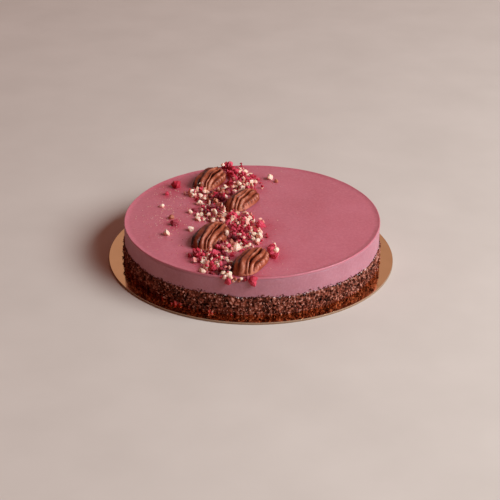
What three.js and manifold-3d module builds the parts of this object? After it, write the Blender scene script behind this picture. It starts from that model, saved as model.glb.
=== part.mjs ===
// A round cherry mousse cake on its gold card board: a crumbly chocolate sponge, a layer of
// cherry mousse, a thin cherry glaze with a raised lip, and a band of pecan halves, chopped
// pale nuts and dried cherry pieces across the top.
//
// Millimetres, +Z up. The origin is under the middle of the board, on the face it rests on.
// -Y is the front of the cake, and the band of toppings runs from the back to the front.

import * as THREE from 'three';
import { ConvexGeometry } from 'three/addons/geometries/ConvexGeometry.js';
import { ImprovedNoise } from 'three/addons/math/ImprovedNoise.js';
import { mergeVertices } from 'three/addons/utils/BufferGeometryUtils.js';
import Module from 'manifold-3d';

const wasm = await Module();
wasm.setup();

// ---- Driving dimensions --------------------------------------------------------------------

const BOARD_DIAMETER = 202;
const BOARD_THICKNESS = 1.6;
const BOARD_EDGE_ROUND = 0.4;

const CAKE_DIAMETER = 180;
const CAKE_OFFSET = { x: 0.45, y: -0.55 }; // the cake stands a little off the board's middle
const RIM_HEIGHT = 30.3; // top of the lip above the board's underside, at the cake's middle
const RISE_TO_RIGHT = 1.3; // how far the top climbs from the middle to the right-hand rim
const RISE_TO_BACK = 1.1; // and from the middle to the back rim

const SPONGE_TOP = 14.3;
const SPONGE_TOP_WAVE = 0.6; // how far its upper edge rises and falls
const SPONGE_CRAG = 1.5; // how far crumbs stand out of the cut side, or are torn out of it
const SPONGE_BULGE = 0.3; // the sponge's mean side stands this far out of the mousse

const GLAZE_THICKNESS = 1.8; // at the lip
const LIP_HEIGHT = 0.9;
const LIP_WIDTH = 3.8;
const LIP_ROUND = 0.5;

const LAYER_GAP = 0.3; // between one layer and the next

const PECAN_LENGTH = 36.5;
const PECAN_WIDTH = 19.6;
const PECAN_HEIGHT = 8.8;
const PECAN_GROOVE_DEPTH = 2.0;
const PECAN_SIDE_GROOVE_DEPTH = 1.2;
const PECAN_WIDEST = 1.1; // the most that its uneven outline widens a half

// Places on the cake's top, seen from above; turn is the long axis, in degrees from +X, and
// lean tips the half about that axis.
const PECANS = [
  { x: -32, y: 60.3, turn: 64, lean: 3, scale: 0.97 },
  { x: -7, y: 23.3, turn: 59, lean: -4, scale: 0.94 },
  { x: -28.5, y: -32.7, turn: 65, lean: 2, scale: 1.03 },
  { x: -0.8, y: -70.5, turn: 64, lean: -3, scale: 1.0 },
];

// The band of small pieces.
const CRUMB_COUNT = 76;
const CRUMB_SMALLEST = 2.8;
const CRUMB_LARGEST = 4.4;
const CRUMB_FLATNESS = 0.75; // a piece's height over its size
const CRUMB_SUNK = 0.22; // share of a piece's height that is sunk in what it lies on
const CRUMB_CORNERS = 9; // corners of one chopped piece
const CRUMB_REACH = 0.7; // the farthest a corner can lie from the middle, as a share of size
const CRUMB_SPACING = 0.4; // least distance of two pieces, as a share of their joint size
const BAND_HALF_LENGTH = 86;
const SECOND_LAYER_EVERY = 3; // every third piece lies on its neighbours
const SECOND_LAYER_LIFT = 0.45; // by this share of its size
const CRUMB_SEED = 7;

// The band's left and right edge, as [y, left x, right x], from the front to the back.
const BAND_EDGES = [
  [-86, -30, -4],
  [-80, -35, -14],
  [-70, -35, -14],
  [-60, -40, -11],
  [-55, -39, -8],
  [-50, -31, -5],
  [-45, -26, -2],
  [-40, -22, 3],
  [-35, -19, 6],
  [-30, -18, 8],
  [-20, -17, 7],
  [-10, -18, 6],
  [-5, -41, 3],
  [0, -42, -1],
  [5, -41, -7],
  [10, -43, -12],
  [20, -38, -18],
  [30, -39, -17],
  [35, -46, -15],
  [40, -47, -13],
  [46, -46, 3],
  [50, -24, 4],
  [60, -23, 3],
  [70, -23, 0],
  [80, -26, -7],
  [86, -25, -11],
];

// Pieces that lie apart from the band.
const LONE_CRUMBS = [
  { x: -56, y: 52, size: 7.4 },
  { x: -62, y: 38, size: 3.8 },
  { x: -65, y: 18, size: 3.6 },
  { x: -57, y: -1, size: 4 },
  { x: -54, y: -11, size: 5.2 },
  { x: -59, y: -27, size: 4.6 },
  { x: -42.5, y: -20, size: 4.2 },
  { x: 13, y: 65.5, size: 5 },
  { x: 17.5, y: 60.5, size: 3 },
  { x: 6.2, y: -13.5, size: 6.8 },
  { x: 13.4, y: -47, size: 4.6 },
  { x: 16.4, y: -52, size: 4.2 },
  { x: 16, y: -60.5, size: 5.2 },
];

// The pieces of the band that catch the eye first; the rest are scattered round them.
const MARKED_CRUMBS = [
  { x: -20.5, y: 85.2, size: 7.2 },
  { x: -25, y: 80.5, size: 4 },
  { x: -15.5, y: 79, size: 6 },
  { x: -19, y: 74.5, size: 4.6 },
  { x: -9, y: 78.5, size: 3.2 },
  { x: -14.5, y: 67, size: 6.4 },
  { x: -7.5, y: 72, size: 3 },
  { x: -9.5, y: 61.5, size: 4.2 },
  { x: -3.5, y: 62, size: 4.6 },
  { x: -1.5, y: 73.5, size: 3.2 },
  { x: 2, y: 58.5, size: 3 },
  { x: -5.2, y: 54, size: 3.2 },
  { x: -1, y: 53, size: 3.4 },
  { x: -17, y: 53, size: 6.4 },
  { x: -12.6, y: 56, size: 3.4 },
  { x: -8.4, y: 47.5, size: 5.4 },
  { x: 1.8, y: 44.5, size: 3.4 },
  { x: -3, y: 47.5, size: 3.8 },
  { x: -20.5, y: 48, size: 4.2 },
  { x: -13.4, y: 43.5, size: 3.2 },
  { x: -17.5, y: 41.5, size: 4.2 },
  { x: -22.5, y: 41.5, size: 4.4 },
  { x: -43.5, y: 36.5, size: 6 },
  { x: -37.5, y: 33.5, size: 4 },
  { x: -32.6, y: 31, size: 4.4 },
  { x: -26, y: 32.5, size: 5 },
  { x: -20.5, y: 33, size: 5 },
  { x: -31, y: 24.5, size: 3.6 },
  { x: -35.3, y: 20, size: 3.2 },
  { x: -33.5, y: 15.5, size: 3.2 },
  { x: -26.5, y: 24, size: 3.8 },
  { x: -28.5, y: 14.5, size: 4 },
  { x: -24.3, y: 17, size: 4.2 },
  { x: -31.8, y: 9, size: 4 },
  { x: -41, y: 11.5, size: 3.8 },
  { x: -44.2, y: 8, size: 3.4 },
  { x: -36.3, y: 4, size: 3.2 },
  { x: -38, y: -3.5, size: 4.6 },
  { x: -21, y: 4, size: 3.8 },
  { x: -25.2, y: -1.2, size: 3.4 },
  { x: -16.2, y: 8.2, size: 4.2 },
  { x: -24.5, y: 8.5, size: 3.6 },
  { x: -14, y: -0.5, size: 6.4 },
  { x: -20.8, y: -4.5, size: 3.6 },
  { x: -14.4, y: -9, size: 3.8 },
  { x: 0.2, y: -7, size: 4 },
  { x: -3, y: -13.5, size: 3.6 },
  { x: -9.6, y: -15.5, size: 4 },
  { x: -13, y: -17, size: 4.2 },
  { x: -5.6, y: -19.5, size: 3.8 },
  { x: -0.8, y: -22, size: 3 },
  { x: 1.2, y: -28, size: 4.2 },
  { x: 4.8, y: -32, size: 5.2 },
  { x: -11.4, y: -25, size: 5.2 },
  { x: -13, y: -33.5, size: 6 },
  { x: -4.8, y: -29.5, size: 3.2 },
  { x: -7.8, y: -34, size: 4 },
  { x: -4.5, y: -39, size: 3.4 },
  { x: -1.6, y: -43, size: 3 },
  { x: -19.4, y: -43, size: 3.4 },
  { x: -14, y: -41.5, size: 4 },
  { x: -10.4, y: -48.5, size: 5.6 },
  { x: -15.6, y: -52, size: 4.4 },
  { x: -21.5, y: -50.5, size: 4.2 },
  { x: -24, y: -56.5, size: 5 },
  { x: -29, y: -60, size: 4.6 },
  { x: -35.5, y: -57.5, size: 6.4 },
  { x: -41.5, y: -59, size: 3.2 },
  { x: -17, y: -58.5, size: 4.4 },
  { x: -20.4, y: -62.5, size: 3.2 },
  { x: -16.4, y: -66.5, size: 3.2 },
  { x: -25.4, y: -65, size: 4.2 },
  { x: -31.4, y: -67, size: 5 },
  { x: -23.2, y: -70.5, size: 3.4 },
  { x: -30, y: -75, size: 4 },
  { x: -25, y: -77.5, size: 5.4 },
  { x: -18.6, y: -72.5, size: 5 },
  { x: -31.8, y: -81, size: 4.2 },
  { x: -19.5, y: -80.5, size: 4.4 },
  { x: -15, y: -85.5, size: 4.4 },
  { x: -10.5, y: -87, size: 3.4 },
];

// Pieces that hang over the front rim; drop is how far their middle lies below the lip, and
// their middle is outside the rim by a share of their size.
const RIM_CRUMB_OUTSIDE = 0.2;
const RIM_CRUMBS = [
  { x: -15, size: 6, drop: 1.8 },
  { x: 0.5, size: 7, drop: 2.6 },
];

const ROUND_SEGMENTS = 116;
const SPONGE_ROWS = 7;
const PECAN_COLUMNS = 24; // around; a groove lies between two ridges, one column apart
const PECAN_STATIONS = 16;

const cakeRadius = CAKE_DIAMETER / 2;
const hiddenRing = cakeRadius * 0.93; // inside this the layers' faces can't be seen
const noise = new ImprovedNoise();

// ---- Materials -----------------------------------------------------------------------------

function material(name, color, roughness, metalness = 0) {
  return new THREE.MeshStandardMaterial({ name, color, roughness, metalness });
}

const goldCard = material('gold_card', 0xba8a5a, 0.38, 0.6);
const sponge = material('chocolate_sponge', 0x5f382c, 0.95);
const mousse = material('cherry_mousse', 0xc0808a, 0.6);
const glaze = material('cherry_glaze', 0xb86871, 0.35);
const pecan = material('pecan', 0x8f5a3c, 0.6);

// ---- Geometry helpers ----------------------------------------------------------------------

// Leaves only positions, with shared corners merged and triangles without area dropped.
function weld(geometry) {
  geometry.deleteAttribute('normal');
  geometry.deleteAttribute('uv');
  const welded = mergeVertices(geometry, 1e-4);
  const kept = [];
  for (let i = 0; i < welded.index.count; i += 3) {
    const corners = [0, 1, 2].map((k) => welded.index.getX(i + k));
    if (new Set(corners).size === 3) {
      kept.push(...corners);
    }
  }
  welded.setIndex(kept);
  return welded;
}

// Moves every corner to where place(corner) puts it.
function reshape(geometry, place) {
  const position = geometry.attributes.position;
  const corner = new THREE.Vector3();
  for (let i = 0; i < position.count; i += 1) {
    place(corner.fromBufferAttribute(position, i));
    position.setXYZ(i, corner.x, corner.y, corner.z);
  }
  return geometry;
}

// A turned solid about the Z axis from [radius, height] points, from the bottom to the top.
function turned(profile) {
  const points = profile.map(([radius, height]) => new THREE.Vector2(radius, height));
  const geometry = new THREE.LatheGeometry(points, ROUND_SEGMENTS);
  return weld(geometry.rotateX(Math.PI / 2));
}

function toSolid(geometry) {
  const vertProperties = Float32Array.from(geometry.attributes.position.array);
  const triVerts = Uint32Array.from(geometry.index.array);
  return new wasm.Manifold(new wasm.Mesh({ numProp: 3, vertProperties, triVerts }));
}

function toGeometry(solid) {
  const mesh = solid.getMesh();
  const geometry = new THREE.BufferGeometry();
  geometry.setAttribute('position', new THREE.BufferAttribute(mesh.vertProperties, 3));
  geometry.setIndex(new THREE.BufferAttribute(mesh.triVerts, 1));
  return geometry;
}

function namedMesh(name, geometry, meshMaterial) {
  geometry.computeVertexNormals();
  const mesh = new THREE.Mesh(geometry, meshMaterial);
  mesh.name = name;
  return mesh;
}

// ---- Surfaces the layers share -------------------------------------------------------------

// How far the tilted top stands above its height at the cake's middle.
function topRise(x, y) {
  return (RISE_TO_RIGHT * x + RISE_TO_BACK * y) / cakeRadius;
}

// The sponge's uneven upper edge; it is level further in, where it can't be seen.
function spongeWave(x, y) {
  const radius = Math.hypot(x, y);
  const fade = THREE.MathUtils.smoothstep(radius, cakeRadius * 0.5, cakeRadius * 0.9);
  const angle = Math.atan2(y, x);
  const wave = Math.sin(3 * angle + 0.6) + Math.sin(7 * angle + 2) + Math.sin(16 * angle);
  return (fade * SPONGE_TOP_WAVE * wave) / 2;
}

// ---- Board and layers ----------------------------------------------------------------------

function boardGeometry() {
  const radius = BOARD_DIAMETER / 2;
  return turned([
    [0, 0],
    [radius - BOARD_EDGE_ROUND, 0],
    [radius, BOARD_EDGE_ROUND],
    [radius, BOARD_THICKNESS - BOARD_EDGE_ROUND],
    [radius - BOARD_EDGE_ROUND, BOARD_THICKNESS],
    [0, BOARD_THICKNESS],
  ]);
}

// Crags are strongest half way up the cut side and fade towards its two edges.
function spongeGeometry() {
  const side = cakeRadius + SPONGE_BULGE;
  const rows = [];
  for (let row = 0; row <= SPONGE_ROWS; row += 1) {
    rows.push([side, THREE.MathUtils.lerp(BOARD_THICKNESS, SPONGE_TOP, row / SPONGE_ROWS)]);
  }
  const blank = turned([
    [0, BOARD_THICKNESS],
    [hiddenRing, BOARD_THICKNESS],
    ...rows,
    [hiddenRing, SPONGE_TOP],
    [0, SPONGE_TOP],
  ]);
  return reshape(blank, (corner) => {
    const { x, y, z } = corner;
    const height = (z - BOARD_THICKNESS) / (SPONGE_TOP - BOARD_THICKNESS);
    if (Math.hypot(x, y) > hiddenRing + 1) {
      const coarse = noise.noise(x / 5.3, y / 5.3, z / 4.1);
      const fine = noise.noise(x / 2.3 + 40, y / 2.3, z / 2.1);
      const strength = 0.35 + 0.65 * Math.sin(Math.PI * height);
      const offset = SPONGE_CRAG * strength * (1.2 * coarse + 0.8 * fine);
      const scale = 1 + offset / Math.hypot(x, y);
      corner.x *= scale;
      corner.y *= scale;
    }
    corner.z += height * spongeWave(x, y);
  });
}

function mousseGeometry() {
  const bottom = SPONGE_TOP + LAYER_GAP;
  const top = RIM_HEIGHT - GLAZE_THICKNESS - LAYER_GAP;
  const middle = (bottom + top) / 2;
  const edgeRound = 0.5;
  const blank = turned([
    [0, bottom],
    [hiddenRing, bottom],
    [cakeRadius - edgeRound, bottom],
    [cakeRadius, bottom + edgeRound],
    [cakeRadius, middle],
    [cakeRadius, top],
    [0, top],
  ]);
  return reshape(blank, (corner) => {
    const share = (corner.z - bottom) / (top - bottom);
    const lower = spongeWave(corner.x, corner.y);
    const upper = topRise(corner.x, corner.y);
    corner.z += THREE.MathUtils.lerp(lower, upper, share);
  });
}

// The glaze's flat top lies lower than its lip, which the glaze climbs in a hollow curve.
const glazeTop = RIM_HEIGHT - LIP_HEIGHT;

function glazeGeometry() {
  const lip = [];
  const lipSteps = 4;
  for (let step = 0; step <= lipSteps; step += 1) {
    const share = step / lipSteps;
    const radius = cakeRadius - LIP_ROUND - (1 - share) * LIP_WIDTH;
    lip.unshift([radius, glazeTop + LIP_HEIGHT * share ** 2]);
  }
  const blank = turned([
    [0, RIM_HEIGHT - GLAZE_THICKNESS],
    [cakeRadius, RIM_HEIGHT - GLAZE_THICKNESS],
    [cakeRadius, RIM_HEIGHT - LIP_ROUND],
    ...lip,
    [0, glazeTop],
  ]);
  return reshape(blank, (corner) => {
    corner.z += topRise(corner.x, corner.y);
  });
}

// ---- Pecan halves --------------------------------------------------------------------------

// A half kernel, flat side down, its long axis along X, resting on Z = 0. It is a ball whose
// poles lie at the two tips, flattened below and pulled into ridges above. The end on -X is
// the blunter one.
function pecanGeometry(index) {
  const ball = new THREE.SphereGeometry(1, PECAN_COLUMNS, PECAN_STATIONS);
  return reshape(weld(ball.rotateZ(-Math.PI / 2)), (corner) => {
    const along = corner.x;
    const around = Math.atan2(corner.z, corner.y);
    const bluntness = along < 0 ? 4 : 2.5;
    const taper = Math.max(0, 1 - Math.abs(along) ** bluntness) ** 0.58;
    const uneven = noise.noise(along * 2 + 9 * index, around * 1.3, 4.7);
    const halfWidth = (PECAN_WIDTH / 2) * taper * (1 + 0.07 * along + 0.06 * uneven);
    const height = PECAN_HEIGHT * taper ** 0.75 * (1 + 0.08 * uneven);
    corner.x = (PECAN_LENGTH / 2) * along;
    corner.y = halfWidth * Math.cos(around);
    corner.z = 0;
    if (around > 0) {
      const fromTop = Math.abs(around - Math.PI / 2);
      const main = fromTop < Math.PI / 7;
      const depth = main ? PECAN_GROOVE_DEPTH : PECAN_SIDE_GROOVE_DEPTH;
      const groove = (depth * taper * (1 - Math.cos(PECAN_COLUMNS * 0.5 * around))) / 2;
      const flank = THREE.MathUtils.smoothstep(fromTop, Math.PI * 0.3, Math.PI * 0.5);
      corner.z = height * Math.sin(around) ** 0.8 - groove * (1 - flank);
      corner.z = Math.max(corner.z, 0.02 * height);
    }
  });
}

// The half's lowest edge, once it leans, is brought back to the layer gap above the glaze.
function placePecan(spot, index) {
  const mesh = namedMesh(`pecan_${index + 1}`, pecanGeometry(index), pecan);
  const lean = THREE.MathUtils.degToRad(spot.lean);
  const lift = (PECAN_WIDTH / 2) * PECAN_WIDEST * Math.sin(Math.abs(lean));
  mesh.scale.setScalar(spot.scale);
  mesh.rotation.set(lean, 0, THREE.MathUtils.degToRad(spot.turn), 'ZYX');
  mesh.position.set(spot.x, spot.y, lift + LAYER_GAP);
  return mesh;
}

// ---- Small pieces --------------------------------------------------------------------------

function random() {
  return THREE.MathUtils.seededRandom();
}

// A chopped piece: the hull of a few corners scattered over an uneven ball.
function crumbSolid(size, middle) {
  const stretch = new THREE.Vector3(0.8 + 0.4 * random(), 0.7 + 0.3 * random(), CRUMB_FLATNESS);
  const turn = new THREE.Euler(random() * 0.8, random() * 0.8, random() * Math.PI * 2);
  const corners = [];
  for (let k = 0; k < CRUMB_CORNERS; k += 1) {
    const height = 1 - (2 * (k + 0.5)) / CRUMB_CORNERS;
    const angle = k * 2.4 + random();
    const reach = (size / 2) * (0.85 + 0.3 * random());
    const ring = Math.sqrt(1 - height * height);
    const corner = new THREE.Vector3(ring * Math.cos(angle), ring * Math.sin(angle), height);
    corners.push(corner.multiplyScalar(reach).multiply(stretch).applyEuler(turn).add(middle));
  }
  return toSolid(weld(new ConvexGeometry(corners)));
}

// The band's left and right edge at y, between the two nearest given places.
function bandEdges(y) {
  const next = Math.max(1, BAND_EDGES.findIndex((edge) => edge[0] >= y));
  const [nearY, nearLeft, nearRight] = BAND_EDGES[next - 1];
  const [farY, farLeft, farRight] = BAND_EDGES[next];
  const share = (y - nearY) / (farY - nearY);
  const { lerp } = THREE.MathUtils;
  return [lerp(nearLeft, farLeft, share), lerp(nearRight, farRight, share)];
}

// A piece keeps clear of every pecan half, with the layer gap to spare.
function clearOfPecans(x, y, size) {
  return PECANS.every((spot) => {
    const turn = THREE.MathUtils.degToRad(spot.turn);
    const dx = x - spot.x;
    const dy = y - spot.y;
    const along = dx * Math.cos(turn) + dy * Math.sin(turn);
    const across = dy * Math.cos(turn) - dx * Math.sin(turn);
    const margin = size * CRUMB_REACH + LAYER_GAP;
    const halfLength = (PECAN_LENGTH / 2) * spot.scale + margin;
    const halfWidth = (PECAN_WIDTH / 2) * spot.scale * PECAN_WIDEST + margin;
    return (along / halfLength) ** 2 + (across / halfWidth) ** 2 > 1;
  });
}

// The largest pieces find their places first; the rest fill the gaps between them.
function scatterCrumbs() {
  const chosen = [...LONE_CRUMBS, ...MARKED_CRUMBS];
  const clear = chosen.filter((spot) => clearOfPecans(spot.x, spot.y, spot.size));
  const placed = clear.map((spot) => ({ ...spot, lifted: false }));
  const inside = cakeRadius - LIP_ROUND;
  for (let k = 0; k < CRUMB_COUNT; k += 1) {
    const share = (1 - k / CRUMB_COUNT) ** 1.5;
    const size = THREE.MathUtils.lerp(CRUMB_SMALLEST, CRUMB_LARGEST, share);
    for (let attempt = 0; attempt < 60; attempt += 1) {
      const y = (2 * random() - 1) * BAND_HALF_LENGTH;
      const [left, right] = bandEdges(y);
      const x = THREE.MathUtils.lerp(left, right, random());
      const apart = placed.every(
        (other) => Math.hypot(other.x - x, other.y - y) > CRUMB_SPACING * (other.size + size),
      );
      if (apart && Math.hypot(x, y) + size / 2 < inside && clearOfPecans(x, y, size)) {
        placed.push({ x, y, size, lifted: k % SECOND_LAYER_EVERY === 0 });
        break;
      }
    }
  }
  return placed;
}

function addBandCrumbs(body) {
  let joined = body;
  for (const { x, y, size, lifted } of scatterCrumbs()) {
    const onNeighbours = lifted ? SECOND_LAYER_LIFT : 0;
    const lift = size * (CRUMB_FLATNESS * (0.5 - CRUMB_SUNK) + onNeighbours);
    const middle = new THREE.Vector3(x, y, glazeTop + topRise(x, y) + lift);
    joined = joined.add(crumbSolid(size, middle));
  }
  return joined;
}

// Pieces on the rim hang in front of the mousse, clear of it.
function addRimCrumbs(body) {
  let joined = body;
  for (const { x, size, drop } of RIM_CRUMBS) {
    const y = -Math.sqrt((cakeRadius + size * RIM_CRUMB_OUTSIDE) ** 2 - x * x);
    const middle = new THREE.Vector3(x, y, RIM_HEIGHT + topRise(x, y) - drop);
    joined = joined.add(crumbSolid(size, middle));
  }
  const below = RIM_HEIGHT - GLAZE_THICKNESS;
  const clearance = turned([
    [0, SPONGE_TOP],
    [cakeRadius + LAYER_GAP, SPONGE_TOP],
    [cakeRadius + LAYER_GAP, below],
    [0, below],
  ]);
  reshape(clearance, (corner) => {
    corner.z += topRise(corner.x, corner.y);
  });
  return joined.subtract(toSolid(clearance));
}

// The glaze with its small pieces as one body; scraps that touch nothing are left off.
function toppedGlazeGeometry() {
  THREE.MathUtils.seededRandom(CRUMB_SEED);
  const joined = addRimCrumbs(addBandCrumbs(toSolid(glazeGeometry())));
  const bodies = joined.decompose();
  bodies.sort((one, other) => other.volume() - one.volume());
  return toGeometry(bodies[0]);
}

// ---- Assembly ------------------------------------------------------------------------------

// Everything on the glaze shares a group that leans with the tilted top.
function toppings() {
  const top = new THREE.Group();
  top.position.z = glazeTop;
  top.rotation.set(Math.atan(RISE_TO_BACK / cakeRadius), -Math.atan(RISE_TO_RIGHT / cakeRadius), 0);
  PECANS.forEach((spot, index) => top.add(placePecan(spot, index)));
  return top;
}

function buildCake() {
  const cake = new THREE.Group();
  cake.position.set(CAKE_OFFSET.x, CAKE_OFFSET.y, 0);
  cake.add(namedMesh('sponge_base', spongeGeometry(), sponge));
  cake.add(namedMesh('cherry_mousse', mousseGeometry(), mousse));
  cake.add(namedMesh('cherry_glaze', toppedGlazeGeometry(), glaze));
  cake.add(toppings());
  return cake;
}

const group = new THREE.Group();
group.add(namedMesh('cake_board', boardGeometry(), goldCard));
group.add(buildCake());

export default group;
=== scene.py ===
import math

import bmesh
import bpy
import numpy as np
from mathutils import Matrix, Vector


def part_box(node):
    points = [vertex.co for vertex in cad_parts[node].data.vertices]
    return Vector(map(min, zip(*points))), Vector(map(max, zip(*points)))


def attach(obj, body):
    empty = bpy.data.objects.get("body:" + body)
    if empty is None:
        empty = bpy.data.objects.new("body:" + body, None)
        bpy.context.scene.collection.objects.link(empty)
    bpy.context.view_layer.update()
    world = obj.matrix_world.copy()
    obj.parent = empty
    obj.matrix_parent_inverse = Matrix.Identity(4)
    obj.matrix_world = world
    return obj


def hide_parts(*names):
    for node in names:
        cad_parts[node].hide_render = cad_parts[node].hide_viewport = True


# A round cherry mousse cake on its gold card board. Lengths are millimetres until a mesh is
# made, which turns them into metres. +Z is up and -Y is the front of the cake.

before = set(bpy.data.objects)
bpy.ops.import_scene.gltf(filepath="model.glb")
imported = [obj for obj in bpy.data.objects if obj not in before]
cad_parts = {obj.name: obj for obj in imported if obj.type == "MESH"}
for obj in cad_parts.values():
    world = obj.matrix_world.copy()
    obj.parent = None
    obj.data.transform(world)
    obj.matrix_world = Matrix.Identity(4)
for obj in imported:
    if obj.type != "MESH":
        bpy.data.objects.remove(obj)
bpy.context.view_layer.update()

MM = 0.001


def node_box(name):
    """A node's lowest and highest corner, in millimetres."""
    low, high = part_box(name)
    return np.array(low) / MM, np.array(high) / MM


# ---- Sizes taken from the frame ----

BOARD_LOW, BOARD_HIGH = node_box("cake_board")
MOUSSE_LOW, MOUSSE_HIGH = node_box("cherry_mousse")

BOARD_RADIUS = (BOARD_HIGH[0] - BOARD_LOW[0]) / 2
BOARD_TOP = BOARD_HIGH[2]
CAKE_RADIUS = (MOUSSE_HIGH[0] - MOUSSE_LOW[0]) / 2
CENTRE = (MOUSSE_LOW[:2] + MOUSSE_HIGH[:2]) / 2

# ---- Sizes the solids share with the source of the part ----

RIM_HEIGHT = 30.3  # top of the lip at the cake's middle, above the board's underside
RISE_TO_RIGHT = 1.3  # climb of the top from the middle to the right-hand rim
RISE_TO_BACK = 1.1
SPONGE_TOP = 14.3
SPONGE_TOP_WAVE = 0.6
SPONGE_BULGE = 0.3
GLAZE_THICKNESS = 1.8
LIP_HEIGHT = 0.9
LIP_WIDTH = 3.8
LIP_ROUND = 0.5
SOFT_LIP_HEIGHT = 0.6  # the lip as seen is softer than the solid's
LAYER_GAP = 0.3
PECAN_LENGTH = 36.5
PECAN_WIDTH = 19.6
PECAN_HEIGHT = 8.8
PECAN_WIDEST = 1.1

GLAZE_TOP = RIM_HEIGHT - LIP_HEIGHT
SEEN_GLAZE_TOP = RIM_HEIGHT - SOFT_LIP_HEIGHT

# Places are on the cake's top, seen from above, from the cake's middle.
PECANS = [
    {"x": -32, "y": 60.3, "turn": 64, "lean": 3, "scale": 0.97},
    {"x": -7, "y": 23.3, "turn": 59, "lean": -4, "scale": 0.94},
    {"x": -28.5, "y": -32.7, "turn": 65, "lean": 2, "scale": 1.03},
    {"x": -0.8, "y": -70.5, "turn": 64, "lean": -3, "scale": 1.0},
]

# The band of small pieces: the same rule and seed as the part's source, so that each of the
# larger pieces lies where its solid is.
CRUMB_COUNT = 76
CRUMB_SMALLEST = 2.8
CRUMB_LARGEST = 4.4
CRUMB_REACH = 0.7
CRUMB_FLATNESS = 0.75
CRUMB_SUNK = 0.22
CRUMB_SPACING = 0.4
CRUMB_TRIES = 60
BAND_HALF_LENGTH = 86
SECOND_LAYER_EVERY = 3
SECOND_LAYER_LIFT = 0.45
PILE_REACH = 0.42  # how near a loose piece has to be to lie on another, over their sizes
LARGE_SPREAD = 1.28  # a chip's corners reach a little further than its solid's
CRUMB_SEED = 7
RIM_CRUMB_OUTSIDE = 0.2

# The band's left and right edge, as [y, left x, right x], from the front to the back.
BAND_EDGES = [
    (-86, -30, -4), (-80, -35, -14), (-70, -35, -14), (-60, -40, -11), (-55, -39, -8),
    (-50, -31, -5), (-45, -26, -2), (-40, -22, 3), (-35, -19, 6), (-30, -18, 8), (-20, -17, 7),
    (-10, -18, 6), (-5, -41, 3), (0, -42, -1), (5, -41, -7), (10, -43, -12), (20, -38, -18),
    (30, -39, -17), (35, -46, -15), (40, -47, -13), (46, -46, 3), (50, -24, 4), (60, -23, 3),
    (70, -23, 0), (80, -26, -7), (86, -25, -11),
]
# Kinds of small piece: pale nut, crimson, dark red and brown.
NUT, CRIMSON, MAROON, BROWN = "nut", "crimson", "maroon", "brown"
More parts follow.
